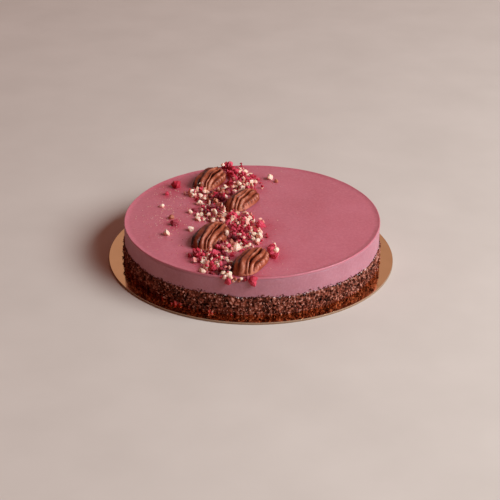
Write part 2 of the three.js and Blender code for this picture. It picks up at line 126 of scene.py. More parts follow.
# Pieces read from the photo, as [x, y, size, kind]: those that lie alone, and those in the band.
LONE_CRUMBS = [
    (-56, 52, 7.4, CRIMSON), (-62, 38, 3.8, CRIMSON), (-65, 18, 3.6, NUT), (-57, -1, 4, BROWN),
    (-54, -11, 5.2, MAROON), (-59, -27, 4.6, NUT), (-42.5, -20, 4.2, NUT), (13, 65.5, 5, NUT),
    (17.5, 60.5, 3, BROWN), (6.2, -13.5, 6.8, CRIMSON), (13.4, -47, 4.6, CRIMSON),
    (16.4, -52, 4.2, NUT), (16, -60.5, 5.2, CRIMSON),
]
MARKED_CRUMBS = [
    (-20.5, 85.2, 7.2, CRIMSON), (-25, 80.5, 4, MAROON), (-15.5, 79, 6, CRIMSON),
    (-19, 74.5, 4.6, CRIMSON), (-9, 78.5, 3.2, NUT), (-14.5, 67, 6.4, CRIMSON), (-7.5, 72, 3, NUT),
    (-9.5, 61.5, 4.2, CRIMSON), (-3.5, 62, 4.6, CRIMSON), (-1.5, 73.5, 3.2, NUT),
    (2, 58.5, 3, NUT), (-5.2, 54, 3.2, NUT), (-1, 53, 3.4, NUT), (-17, 53, 6.4, CRIMSON),
    (-12.6, 56, 3.4, NUT), (-8.4, 47.5, 5.4, NUT), (1.8, 44.5, 3.4, CRIMSON),
    (-3, 47.5, 3.8, CRIMSON), (-20.5, 48, 4.2, NUT), (-13.4, 43.5, 3.2, NUT),
    (-17.5, 41.5, 4.2, MAROON), (-22.5, 41.5, 4.4, BROWN), (-43.5, 36.5, 6, NUT),
    (-37.5, 33.5, 4, NUT), (-32.6, 31, 4.4, NUT), (-26, 32.5, 5, MAROON), (-20.5, 33, 5, NUT),
    (-31, 24.5, 3.6, BROWN), (-35.3, 20, 3.2, NUT), (-33.5, 15.5, 3.2, NUT),
    (-26.5, 24, 3.8, MAROON), (-28.5, 14.5, 4, NUT), (-24.3, 17, 4.2, BROWN),
    (-31.8, 9, 4, MAROON), (-41, 11.5, 3.8, MAROON), (-44.2, 8, 3.4, NUT), (-36.3, 4, 3.2, NUT),
    (-38, -3.5, 4.6, NUT), (-21, 4, 3.8, NUT), (-25.2, -1.2, 3.4, NUT), (-16.2, 8.2, 4.2, NUT),
    (-24.5, 8.5, 3.6, MAROON), (-14, -0.5, 6.4, CRIMSON), (-20.8, -4.5, 3.6, BROWN),
    (-14.4, -9, 3.8, NUT), (0.2, -7, 4, NUT), (-3, -13.5, 3.6, NUT), (-9.6, -15.5, 4, NUT),
    (-13, -17, 4.2, CRIMSON), (-5.6, -19.5, 3.8, CRIMSON), (-0.8, -22, 3, NUT),
    (1.2, -28, 4.2, NUT), (4.8, -32, 5.2, NUT), (-11.4, -25, 5.2, CRIMSON),
    (-13, -33.5, 6, MAROON), (-4.8, -29.5, 3.2, NUT), (-7.8, -34, 4, CRIMSON),
    (-4.5, -39, 3.4, MAROON), (-1.6, -43, 3, NUT), (-19.4, -43, 3.4, NUT), (-14, -41.5, 4, BROWN),
    (-10.4, -48.5, 5.6, NUT), (-15.6, -52, 4.4, NUT), (-21.5, -50.5, 4.2, MAROON),
    (-24, -56.5, 5, CRIMSON), (-29, -60, 4.6, NUT), (-35.5, -57.5, 6.4, CRIMSON),
    (-41.5, -59, 3.2, CRIMSON), (-17, -58.5, 4.4, MAROON), (-20.4, -62.5, 3.2, NUT),
    (-16.4, -66.5, 3.2, NUT), (-25.4, -65, 4.2, CRIMSON), (-31.4, -67, 5, NUT),
    (-23.2, -70.5, 3.4, NUT), (-30, -75, 4, NUT), (-25, -77.5, 5.4, CRIMSON),
    (-18.6, -72.5, 5, MAROON), (-31.8, -81, 4.2, NUT), (-19.5, -80.5, 4.4, MAROON),
    (-15, -85.5, 4.4, NUT), (-10.5, -87, 3.4, BROWN),
]
# Pieces that hang on the rim, as [x, size, how far below the lip, kind]: first the two that are
# solids too, and then the small ones beside them.
RIM_CRUMBS = [(-15, 6, 1.8, CRIMSON), (0.5, 7, 2.6, CRIMSON)]
RIM_BITS = [
    (-17.6, 3.6, -0.2, NUT), (-13.6, 4.2, -0.6, NUT), (-11.6, 2.4, 2.2, NUT),
    (-10.2, 3.0, 0.6, BROWN), (-8.2, 2.6, 2.0, BROWN), (-6.4, 3.0, 0.2, NUT),
    (-5.4, 2.2, 2.4, MAROON), (-3.6, 2.8, 0.8, CRIMSON), (-2.6, 3.4, -0.4, MAROON),
    (2.8, 3.2, 0.4, CRIMSON), (1.2, 5.4, 0.2, CRIMSON), (-15.8, 4.6, 3, CRIMSON),
    (-19.8, 2.2, 0.4, CRIMSON),
]

# ---- Camera as fitted to the photo, lights and floor ----

CAMERA_ELEVATION = 26.66
CAMERA_DISTANCE = 1000
CAMERA_AIM = (-0.73, -31.71, 20.0)
CAMERA_ROLL = 0.81
CAMERA_LENS = 104.5
CAMERA_CLIP = (0.01, 20)  # in metres
SENSOR_WIDTH = 36

# Lights, as [name, place, width, height, watts, colour], with lengths in metres.
LIGHTS = [
    ("window", (1.56, -0.585, 1.235), 1.56, 1.04, 61, (0.945, 1.05, 1.12)),
    ("back_card", (0, 1.7, 0.85), 3.0, 1.3, 4.0, (1.0, 0.93, 0.93)),
]
LIGHTS_AIM = (0, 0, 0.02)
WORLD_COLOUR = (1.0, 0.24, 0.11, 1)
WORLD_STRENGTH = 0.16
FLOOR_HALF = 3000


# ---- Noise ----


def lattice(cells, seed):
    """A number from 0 to 1 for each whole-numbered cell."""
    x, y, z = (cells[..., k].astype(np.uint64) for k in range(3))
    mix = x * np.uint64(0x9E3779B1) ^ y * np.uint64(0x85EBCA77) ^ z * np.uint64(0xC2B2AE3D)
    mix = (mix + np.uint64(seed * 7919 + 17)) & np.uint64(0xFFFFFFFF)
    for shift, factor in ((15, 0x2C1B3C6D), (12, 0x297A2D39), (15, 1)):
        mix ^= mix >> np.uint64(shift)
        mix = (mix * np.uint64(factor)) & np.uint64(0xFFFFFFFF)
    return mix.astype(np.float64) / 0xFFFFFFFF


def smooth_noise(points, size, seed):
    """Noise from -1 to 1 whose lumps are about `size` across."""
    scaled = points / size + 1000.0
    cell = np.floor(scaled).astype(np.int64)
    part = scaled - cell
    part = part * part * (3 - 2 * part)
    total = np.zeros(len(points))
    for corner in np.ndindex(2, 2, 2):
        corner = np.array(corner)
        weight = np.prod(np.where(corner, part, 1 - part), axis=1)
        total += weight * lattice(cell + corner, seed)
    return total * 2 - 1


def layered_noise(points, size, seed, layers=3):
    """Noise with finer and weaker lumps added to the coarse ones."""
    total = np.zeros(len(points))
    for k in range(layers):
        total += smooth_noise(points, size / 2**k, seed + k) / 2**k
    return total


def grain_noise(points, size, seed):
    """Distance to the nearest of the scattered grains, as a share of `size`."""
    scaled = points / size + 1000.0
    cell = np.floor(scaled).astype(np.int64)
    nearest = np.full(len(points), 9.0)
    for step in np.ndindex(3, 3, 3):
        near = cell + np.array(step) - 1
        grain = near + np.stack([lattice(near, seed + k) for k in range(3)], axis=1)
        nearest = np.minimum(nearest, np.linalg.norm(scaled - grain, axis=1))
    return nearest


# ---- Meshes ----


def new_object(name, data):
    made = bpy.data.objects.new(name, data)
    bpy.context.scene.collection.objects.link(made)
    return made


def make_object(name, points, faces, material, smooth=True, tint=None):
    """A mesh object from points in millimetres and blocks of faces, each of one kind of face."""
    mesh = bpy.data.meshes.new(name)
    faces = [face for block in faces for face in np.asarray(block).tolist()]
    mesh.from_pydata(points * MM, [], faces, shade_flat=not smooth)
    mesh.validate()
    if tint is not None:
        layer = mesh.attributes.new("tint", "FLOAT", "POINT")
        layer.data.foreach_set("value", np.asarray(tint, dtype=np.float32))
    mesh.materials.append(material)
    return new_object(name, mesh)


def closed_faces(rings, columns):
    """Quads between rings of points, bottom ring first, and a fan to a point at each end."""
    row = np.arange(rings - 1)[:, None] * columns
    column = np.arange(columns)
    after = (column + 1) % columns
    last, tip = (rings - 1) * columns, rings * columns
    quads = [row + column, row + after, row + columns + after, row + columns + column]
    bottom = [np.full(columns, tip), after, column]
    top = [np.full(columns, tip + 1), last + column, last + after]
    return [np.stack([part.ravel() for part in parts], axis=1) for parts in (quads, bottom, top)]


def on_rim(angle, radius):
    return radius * np.cos(angle), radius * np.sin(angle)


def turned_points(profile, columns):
    """Radius, angle and height of each point of the rings given as [radius, height]."""
    angle = np.arange(columns) * (2 * np.pi / columns)
    radius, height = (np.repeat(row, columns) for row in np.transpose(profile))
    return radius, np.tile(angle, len(profile)), height


def turned_object(name, radius, around, height, columns, material, tint=None, centre=CENTRE):
    """A closed turned piece, with a point on the axis at each end."""
    x, y = on_rim(around, radius)
    points = np.c_[centre[0] + x, centre[1] + y, height]
    ends = [[*centre, height[:columns].mean()], [*centre, height[-columns:].mean()]]
    if tint is not None:
        tint = np.concatenate([tint, [tint[:columns].mean(), tint[-columns:].mean()]])
    faces = closed_faces(len(points) // columns, columns)
    return make_object(name, np.vstack([points, ends]), faces, material, tint=tint)


# ---- Materials ----


def linear(rgb):
    """A colour given as it looks on screen, 0 to 255, as light."""
    parts = [c / 255 for c in rgb]
    return [p / 12.92 if p <= 0.04045 else ((p + 0.055) / 1.055) ** 2.4 for p in parts] + [1.0]


# Sockets of the mix node when it mixes colours: the factor and the two colours, and the result.
MIX_INPUTS = (0, 6, 7)
MIX_RESULT = 2


class Surface:
    """A material with a principled shader, and short ways to add noise to it."""

    def __init__(self, name, roughness, **constants):
        self.material = bpy.data.materials.new(name)
        self.material.use_nodes = True
        self.tree = self.material.node_tree
        self.shader = self.tree.nodes["Principled BSDF"]
        for socket, value in {"Roughness": roughness, **constants}.items():
            self.feed(self.shader, socket.replace("_", " "), value)
        self.place = self.node("ShaderNodeTexCoord").outputs["Object"]

    def feed(self, node, socket, value):
        """Links an input socket to another's output, or gives it a constant."""
        if isinstance(value, bpy.types.NodeSocket):
            self.tree.links.new(value, node.inputs[socket])
        else:
            node.inputs[socket].default_value = value

    def node(self, kind, inputs=(), **settings):
        made = self.tree.nodes.new(kind)
        for key, value in settings.items():
            setattr(made, key, value)
        for socket, value in dict(inputs).items():
            self.feed(made, socket, value)
        return made

    def texture(self, kind, size, **constants):
        inputs = {"Vector": self.place, "Scale": 1 / (size * MM), **constants}
        return self.node(kind, inputs).outputs

    def noise(self, size, detail=2.0, roughness=0.5):
        """Noise with lumps of about `size` millimetres."""
        return self.texture("ShaderNodeTexNoise", size, Detail=detail, Roughness=roughness)["Fac"]

    def cells(self, size):
        """Distance to the nearest of scattered points `size` millimetres apart."""
        return self.texture("ShaderNodeTexVoronoi", size)["Distance"]

    def stretch(self, value, low, high, to_low=0.0, to_high=1.0):
        inputs = {"Value": value, "From Min": low, "From Max": high}
        inputs.update({"To Min": to_low, "To Max": to_high})
        return self.node("ShaderNodeMapRange", inputs).outputs["Result"]

    def product(self, one, other):
        made = self.node("ShaderNodeMath", {0: one, 1: other}, operation="MULTIPLY")
        return made.outputs["Value"]

    def attribute(self, name):
        return self.node("ShaderNodeAttribute", attribute_name=name).outputs["Fac"]

    def ramp(self, value, stops):
        """A colour for each value, between stops of [value, screen colour]."""
        made = self.node("ShaderNodeValToRGB", {"Fac": value})
        elements = made.color_ramp.elements
        while len(elements) < len(stops):
            elements.new(0.5)
        for element, (position, rgb) in zip(elements, stops):
            element.position = position
            element.color = linear(rgb)
        return made.outputs["Color"]

    def mix(self, factor, one, other, blend="MIX"):
        """Mixes two colours; each is a socket or a screen colour."""
        colours = [c if isinstance(c, bpy.types.NodeSocket) else linear(c) for c in (one, other)]
        inputs = dict(zip(MIX_INPUTS, (factor, *colours)))
        made = self.node("ShaderNodeMix", inputs, data_type="RGBA", blend_type=blend)
        return made.outputs[MIX_RESULT]

    def colour(self, socket):
        self.feed(self.shader, "Base Color", socket)

    def roughness(self, socket):
        self.feed(self.shader, "Roughness", socket)

    def bump(self, heights):
        """Adds fine relief: pairs of height socket and depth in millimetres."""
        below = {}
        for height, depth in heights:
            inputs = {"Height": height, "Strength": 1.0, "Distance": depth * MM, **below}
            below = {"Normal": self.node("ShaderNodeBump", inputs).outputs["Normal"]}
        self.feed(self.shader, "Normal", below["Normal"])


def glaze_material():
    """Cherry glaze; tint is the cherry dust that stains it, and below zero its pale side: the
    mousse's own colour low on the side, and a painted highlight on the rounded lip.
    """
    glow = {"Subsurface_Weight": 0.12, "Subsurface_Scale": 0.002}
    s = Surface("cherry_glaze", 0.36, IOR=1.42, Subsurface_Radius=(1.0, 0.35, 0.3), **glow)
    clouds = s.ramp(s.noise(34, 3), [(0.3, (184, 92, 104)), (0.7, (194, 103, 116))])
    mottled = s.mix(s.stretch(s.noise(1.8, 4, 0.65), 0.4, 0.75, 0, 0.5), clouds, (212, 126, 134))
    flecks = s.stretch(s.cells(2.6), 0.05, 0.1, 0.6, 0.0)
    speckled = s.mix(flecks, mottled, (222, 160, 166))
    tint = s.attribute("tint")
    grainy = s.stretch(s.noise(0.6, 4, 0.8), 0.43, 0.6, 0.15, 1.0)
    stain = s.product(s.stretch(tint, 0.0, 1.0), grainy)
    stained = s.mix(stain, speckled, (176, 30, 58))
    s.colour(s.mix(s.stretch(tint, 0.0, -1.0, 0.0, 0.9), stained, (184, 120, 131)))
    s.roughness(s.stretch(s.noise(9, 4), 0.3, 0.7, 0.3, 0.42))
    s.bump([(s.noise(14, 2), 0.12), (s.noise(1.1, 2), 0.015)])
    return s.material


def mousse_material():
    glow = {"Subsurface_Weight": 0.25, "Subsurface_Scale": 0.003}
    s = Surface("cherry_mousse", 0.55, Subsurface_Radius=(1.0, 0.4, 0.35), **glow)
    clouds = s.ramp(s.noise(18, 4), [(0.3, (172, 107, 118)), (0.7, (186, 123, 134))])
    mottled = s.mix(s.stretch(s.noise(1.4, 3), 0.45, 0.8, 0, 0.35), clouds, (202, 144, 154))
    # Painted shade: the tiny holes in the mousse are darkened where shade falls in them.
    painted_pinhole_shade = s.stretch(s.cells(1.9), 0.06, 0.13, 0.55, 0.0)
    s.colour(s.mix(painted_pinhole_shade, mottled, (140, 80, 92)))
    s.bump([(s.noise(6, 3), 0.1), (s.stretch(s.cells(1.9), 0.05, 0.14), 0.06)])
    return s.material


def sponge_material(name):
    """Chocolate sponge; tint runs from dark pits to pale crumb: on the torn side it is painted
    shade in the pits and painted light on the crumbs that stand out, on the loose bits each bit's
    own colour.
    """
    s = Surface(name, 0.9, Specular_IOR_Level=0.2)
    stops = [(0.12, (24, 5, 2)), (0.4, (76, 24, 12)), (0.64, (140, 67, 48))]
    # The tint's dark end is painted shade in the pits and its pale end painted light on the proud
    # crumbs; on the loose bits it is their own colour.
    grain = s.ramp(s.attribute("tint"), [*stops, (0.92, (216, 151, 133))])
    crumbs = s.ramp(s.noise(1.4, 4, 0.7), [(0.4, (26, 5, 1)), (0.62, (184, 98, 70))])
    s.colour(s.mix(0.3, grain, crumbs))
    s.bump([(s.noise(0.8, 4, 0.7), 0.5), (s.cells(0.5), 0.15)])
    return s.material


def foil_material():
    s = Surface("gold_foil", 0.06, Metallic=1.0)
    s.colour(s.ramp(s.noise(22, 3), [(0.3, (230, 182, 128)), (0.7, (240, 192, 138))]))
    s.roughness(s.stretch(s.noise(5, 4), 0.3, 0.7, 0.07, 0.13))
    s.bump([(s.noise(9, 2), 0.02), (s.noise(1.2, 2), 0.006)])
    return s.material


def card_material():
    s = Surface("card_core", 0.85)
    fibres = s.node("ShaderNodeMapping", {"Vector": s.place, "Scale": (1, 1, 9)})
    s.place = fibres.outputs["Vector"]
    layers = s.noise(1.6, 5, 0.6)
    s.colour(s.ramp(layers, [(0.3, (128, 94, 70)), (0.7, (174, 139, 110))]))
    s.bump([(layers, 0.05)])
    return s.material


def pecan_material():
    s = Surface("pecan_skin", 0.45, Specular_IOR_Level=0.32)
    stops = [(0.0, (38, 8, 2)), (0.25, (82, 25, 9)), (0.5, (122, 51, 28)), (0.75, (162, 82, 54))]
    # The tint holds painted shade in the grooves and on the left side, and painted light on the
    # bulges and pale ridges, besides the skin's own colour.
    skin = s.ramp(s.attribute("tint"), [*stops, (1.0, (212, 142, 120))])
    blotches = s.ramp(s.noise(5, 4, 0.6), [(0.3, (214, 190, 150)), (0.7, (255, 236, 232))])
    s.colour(s.mix(0.85, skin, blotches, "MULTIPLY"))
    s.roughness(s.stretch(s.noise(3, 3), 0.3, 0.7, 0.32, 0.52))
    s.bump([(s.noise(1.3, 4, 0.6), 0.2), (s.noise(0.4, 2), 0.03)])
    return s.material


def piece_material(name, stops, roughness, grain, relief, glow):
    """A small piece's surface: tint picks each piece's own shade between the stops."""
    s = Surface(name, roughness, Subsurface_Weight=glow, Subsurface_Scale=0.0015)
    shade = s.ramp(s.attribute("tint"), stops)
    spots = s.stretch(s.noise(grain, 4, 0.65), 0.45, 0.75, 0.0, 0.4)
    s.colour(s.mix(spots, shade, stops[0][1]))
    s.bump([(s.noise(grain, 4, 0.65), relief)])
    return s.material


# ---- Surfaces the layers share ----


def top_rise(x, y):
    return (RISE_TO_RIGHT * x + RISE_TO_BACK * y) / CAKE_RADIUS


def smoothstep(value, low, high):
    share = np.clip((value - low) / (high - low), 0, 1)
    return share * share * (3 - 2 * share)


def sponge_wave(x, y):
    """How far the sponge's upper edge stands above its mean height."""
    fade = smoothstep(np.hypot(x, y), CAKE_RADIUS * 0.5, CAKE_RADIUS * 0.9)
    angle = np.arctan2(y, x)
    wave = np.sin(3 * angle + 0.6) + np.sin(7 * angle + 2) + np.sin(16 * angle)
    return fade * SPONGE_TOP_WAVE * wave / 2


# ---- Board ----


BOARD_COLUMNS = 360
BOARD_INNER = 3  # how far inside its edge the card's rings end
FOIL_THICKNESS = 0.12
CARD_LAP = 0.3  # how far the card laps round the foil
CARD_BELOW = 0.01  # how far the card's edge lies below the foil's face
RING_PAIR = 0.002  # between close rings, which keep a flat face flat up to its edge


def board_object(name, profile, material, inner=()):
    """A turned piece of the board, from pairs of [inset from the board's edge, height]."""
    rings = [(BOARD_RADIUS - inset, height) for inset, height in profile] + [*inner]
    turned = turned_points(rings, BOARD_COLUMNS)
    return turned_object(name, *turned, BOARD_COLUMNS, material, centre=(0, 0))


def build_board():
    """A card disc, and the gold foil that lies in its top."""
    core_top = BOARD_TOP - FOIL_THICKNESS
    rim = BOARD_TOP - CARD_BELOW
    profile = [(BOARD_INNER, 0), (0.3, 0), (0, 0.25), (0, BOARD_TOP - 0.2), (0.15, rim)]
    profile += [(CARD_LAP, rim), (CARD_LAP, core_top), (BOARD_INNER, core_top)]
    core = board_object("board_card", profile, card_material())
    edge = CARD_LAP - 0.05
    flat = edge + RING_PAIR
    profile = [(BOARD_INNER, core_top), (flat, core_top), (edge, core_top)]
    profile += [(edge, core_top + RING_PAIR), (edge, BOARD_TOP - RING_PAIR)]
    profile += [(edge, BOARD_TOP), (flat, BOARD_TOP)]
    face = [(r, BOARD_TOP) for r in np.linspace(BOARD_RADIUS - 2, 4, 24)]
    foil_piece = board_object("board_foil", profile, foil_material(), face)
    for piece in (core, foil_piece):
        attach(piece, "root")
    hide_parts("cake_board")


# ---- Sponge ----

SPONGE_COLUMNS = 1800
SPONGE_ROWS = 40
# Counts of loose bits, and their smallest and largest size.
SIDE_GRAINS, SIDE_GRAIN_SIZES = 6500, (0.8, 2.4)
EDGE_GRAINS, EDGE_GRAIN_SIZES = 1800, (0.6, 1.5)
FALLEN_GRAINS, FALLEN_GRAIN_SIZES = 120, (0.4, 1.3)
PALE_FLECKS, PALE_FLECK_SIZES = 260, (0.5, 1.6)
RED_BITS, RED_BIT_SIZES = 160, (0.5, 1.3)
FLECKED_SIDE = math.radians(-35)  # where on the seam most of the pale flecks sit
PALE_FLECK_SHADES = [(0.0, (206, 150, 150)), (0.5, (228, 190, 184)), (1.0, (248, 228, 220))]
RED_BIT_SHADES = [(0.0, (96, 14, 14)), (0.6, (172, 50, 44)), (1.0, (226, 130, 118))]
# Red bits at the foot of the sponge, as [angle in degrees, distance outside it, size].
FOOT_BITS = [
    (-123, 2.4, 4.0), (-121.2, 1.4, 2.8), (-124.5, 3.6, 2.0), (-107.5, 1.8, 3.0), (-106, 2.6, 1.8),
    (-130.5, 1.0, 2.4), (-117, 1.0, 1.6), (-98, 1.2, 1.5),
]


def sponge_relief(points):
    """How far the torn side stands out or in, and its tint from where it is on the side: painted
    shade in the pits and holes, painted light on the crumbs that stand out.
    """
    swell = 0.5 * smooth_noise(points, 13, 11)
    lumps = 0.45 * layered_noise(points, 3.6, 21, 2)
    grains = 1.3 * (0.6 - np.minimum(grain_noise(points, 2.2, 31), 1.0))
    fine = 0.25 * smooth_noise(points, 0.9, 41)
    holes = -2.2 * (1 - smoothstep(grain_noise(points, 2.6, 51), 0.22, 0.4))
    holes = holes - 1.6 * (1 - smoothstep(grain_noise(points, 8, 55), 0.12, 0.36))
    relief = swell + lumps + grains + fine + holes
    # Painted shade and light: the tint is darker in the holes and paler on the proud crumbs, with
    # random variation added.
    shade = 0.5 + 0.55 * (0.5 * lumps + grains + fine + holes)
    return relief, shade + 0.3 * smooth_noise(points, 1.3, 43)


def on_side(angle, level, size, outside):
    """A place on the cake's side for a small grain; level 1 is the sponge's upper edge."""
    radius = CAKE_RADIUS + SPONGE_BULGE + outside - 0.2 * size
    x, y = radius * math.cos(angle), radius * math.sin(angle)
    z = BOARD_TOP + level * (SPONGE_TOP + float(sponge_wave(x, y)) - BOARD_TOP)
    return (CENTRE[0] + x, CENTRE[1] + y, max(z, BOARD_TOP + 0.3 * size))


def build_sponge_grains(material, pale_material, red_material):
    """The loose crumb on the torn side and on the board, with paler and redder bits in it."""
    draw = np.random.default_rng(5)
    shapes = chips(draw, 30, 9, 0, 0)
    grains = Pieces("sponge_crumb", [shapes, shapes], material, "chocolate_sponge")
    for _ in range(SIDE_GRAINS):
        angle = draw.uniform(0, math.tau)
        size = drawn_size(draw, SIDE_GRAIN_SIZES, 1.5)
        place = on_side(angle, draw.uniform(0, 1), size, draw.normal(0.15, 0.45))
        grains.add(place, size, 0, draw, np.clip(draw.normal(0.5, 0.34), 0, 1))
    for _ in range(EDGE_GRAINS):
        angle = draw.uniform(0, math.tau)
        size = draw.uniform(*EDGE_GRAIN_SIZES)
        clump = 0.5 + 0.5 * math.sin(23 * angle + 3 * math.sin(9 * angle))
        level = 1 + (0.06 + 0.12 * clump) * draw.random() ** 2
        place = on_side(angle, level, size, draw.normal(-0.1, 0.15))
        grains.add(place, size, 0, draw, np.clip(draw.normal(0.3, 0.25), 0, 1))
    for _ in range(FALLEN_GRAINS):
        angle = draw.uniform(0, math.tau)
        size = draw.uniform(*FALLEN_GRAIN_SIZES)
        place = on_side(angle, 0, size, 0.5 + abs(draw.normal(0, 1.3)))
        grains.add(place, size, 1, draw, draw.uniform(0.2, 0.8))
    grains.build()
    flecks = Pieces("pale_flecks", [shapes], pale_material, "cherry_mousse")
    for _ in range(PALE_FLECKS):
        angle = FLECKED_SIDE + draw.normal(0, 0.7)
        size = drawn_size(draw, PALE_FLECK_SIZES, 2)
        place = on_side(angle, 1 + draw.normal(0, 0.03), size, draw.normal(0, 0.1))
        flecks.add(place, size, 0, draw)
    flecks.build()
    bits = Pieces("red_crumb", [shapes, chips(draw, 8, 14, 0.2, 2)], red_material, "dried_cherry")
    for degrees, outside, size in FOOT_BITS:
        place = on_side(math.radians(degrees), 0, size, outside)
        bits.add(place, size, 1, draw, 0.6)
    for _ in range(RED_BITS):
        angle = draw.uniform(0, math.tau)
        size = draw.uniform(*RED_BIT_SIZES)
        place = on_side(angle, 0.35 * draw.random() ** 2, size, draw.normal(0.4, 0.3))
        bits.add(place, size, 0, draw)
    bits.build()


def build_sponge(material):
    side = CAKE_RADIUS + SPONGE_BULGE
    share = np.linspace(0, 1, SPONGE_ROWS)
    inner = [(side * f, BOARD_TOP) for f in (0.9, 0.97)]
    rows = [(side, BOARD_TOP + s * (SPONGE_TOP - BOARD_TOP)) for s in share]
    lid = [(side * f, SPONGE_TOP) for f in (0.99, 0.975, 0.95, 0.9)]
    radius, around, height = turned_points(inner + rows + lid, SPONGE_COLUMNS)
    x, y = on_rim(around, radius)
    relief, shade = sponge_relief(np.c_[x, y, height])
    level = (height - BOARD_TOP) / (SPONGE_TOP - BOARD_TOP)
    edges = 1 - 0.5 * smoothstep(np.abs(level - 0.5), 0.4, 0.5)
    radius = radius + np.where(radius > side * 0.995, relief * edges, 0)
    height = height + level * sponge_wave(x, y) + np.where(level > 0.9, 0.25 * relief, 0)
    shade = np.clip(shade, 0, 1)
    piece = turned_object("sponge_body", radius, around, height, SPONGE_COLUMNS, material, shade)
    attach(piece, "root")
    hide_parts("sponge_base")


# ---- Mousse and glaze ----

LAYER_COLUMNS = 720
MOUSSE_ROWS = 30


def build_mousse(material):
    bottom = SPONGE_TOP - 0.3
    top = RIM_HEIGHT - GLAZE_THICKNESS
    share = np.linspace(0, 1, MOUSSE_ROWS)
    tuck = 0.5 * (1 - smoothstep(share, 0, 0.05))
    side = [(CAKE_RADIUS - t, bottom + s * (top - bottom)) for s, t in zip(share, tuck)]
    profile = [(CAKE_RADIUS * 0.9, bottom), *side, (CAKE_RADIUS * 0.9, top)]
    radius, around, height = turned_points(profile, LAYER_COLUMNS)
    x, y = on_rim(around, radius)
    level = (height - bottom) / (top - bottom)
    spots = np.c_[x, y, height]
    ragged = 0.45 * layered_noise(spots * [1, 1, 0], 4, 61, 3) * (1 - smoothstep(level, 0, 0.12))
    height = height + ragged + (1 - level) * sponge_wave(x, y) + level * top_rise(x, y)
    radius = radius + 0.12 * smooth_noise(spots, 16, 71) + 0.05 * smooth_noise(spots, 4, 72)
    piece = turned_object("mousse_layer", radius, around, height, LAYER_COLUMNS, material)
    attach(piece, "root")
    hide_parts("cherry_mousse")


def stain_of(x, y, red):
    """How strongly the glaze is stained by cherry dust, from where the red pieces lie."""
    stain = np.zeros(len(x))
    for spot_x, spot_y, size in red:
        near = (np.abs(x - spot_x) < 4 * size) & (np.abs(y - spot_y) < 4 * size)
        distance = np.hypot(x[near] - spot_x, y[near] - spot_y) / (1.4 * size)
        stain[near] = np.maximum(stain[near], np.exp(-(distance**2)))
    return stain


def build_glaze(material, red):
    """The glaze's side, its raised lip and its nearly level top."""
    low = RIM_HEIGHT - GLAZE_THICKNESS - 0.1
    crest = CAKE_RADIUS - LIP_ROUND
    profile = [(CAKE_RADIUS * 0.9, low), (CAKE_RADIUS - 0.3, low)]
    profile += [(CAKE_RADIUS + 0.05, low + 0.25), (CAKE_RADIUS + 0.1, low + 0.7)]
    profile.append((CAKE_RADIUS + 0.06, RIM_HEIGHT - 0.5))
    for turn in np.linspace(0.1, 0.5, 5) * np.pi:
        x, z = on_rim(turn, LIP_ROUND)
        profile.append((crest + x, RIM_HEIGHT - LIP_ROUND + z))
    for share in np.linspace(0.93, 0, 12):
        rise = SOFT_LIP_HEIGHT * share**2
        profile.append((crest - (1 - share) * LIP_WIDTH, SEEN_GLAZE_TOP + rise))
    profile += [(r, SEEN_GLAZE_TOP) for r in np.linspace(crest - LIP_WIDTH - 1, 3, 90)]
    radius, around, height = turned_points(profile, LAYER_COLUMNS)
    x, y = on_rim(around, radius)
    flat = np.c_[x, y, 0 * x]
    upper = smoothstep(height, RIM_HEIGHT - GLAZE_THICKNESS, GLAZE_TOP)
    side = smoothstep(radius, crest, crest + 0.9 * LIP_ROUND)
    # Painted highlight: the rounded lip is mixed a little toward a paler colour; lower down, the
    # side takes the mousse's own colour.
    pale = side * (0.35 + 0.65 * (1 - smoothstep(height, RIM_HEIGHT - 1.1, RIM_HEIGHT - 0.5)))
    tint = stain_of(x, y, red) * (radius < crest) - pale
    height = height + top_rise(x, y) + upper * 0.05 * smooth_noise(flat, 22, 81)
    at_lip = smoothstep(radius, crest - LIP_WIDTH, crest)
    height = height + at_lip * upper * 0.12 * layered_noise(flat, 11, 83, 2)
    radius = radius + at_lip * 0.08 * smooth_noise(flat, 9, 85)
    piece = turned_object("glaze_top", radius, around, height, LAYER_COLUMNS, material, tint)
    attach(piece, "root")
    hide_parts("cherry_glaze")


# ---- Pecan halves ----

PECAN_COLUMNS = 220
PECAN_STATIONS = 130
# The folds between the ridges, as [how far round the half from its left edge, depth in mm].
PECAN_FOLDS = [(0, 0), (0.2, 1.5), (0.38, 2.1), (0.55, 1.7), (0.64, 3.8), (0.805, 1.7), (1, 0)]
# How narrow each ridge's folds are: the ridges on the left are thin, those on the right broad.
PECAN_SHARPNESS = (1.5, 1.5, 1.7, 2.4, 3.0, 3.2)
# Painted light and shade on each ridge: how much paler or darker it is than the rest, and what the
# blunt end adds to that. The paler thin ridges and blunt end are painted highlight, the darker
# left ridge painted shade.
PECAN_RIDGE_PAINTED_LIGHT = (-0.2, 0.06, 0.1, 0.1, 0.0, 0.02)
BLUNT_END_PAINTED_LIGHT = (-0.1, 0.0, 0.05, 0.12, 0.3, 0.2)
# How far the ridges swing to the right at the blunt end, and to the left at the other.
PECAN_SWING = (0.12, 0.03)
PECAN_TIP_SHADE = 0.4


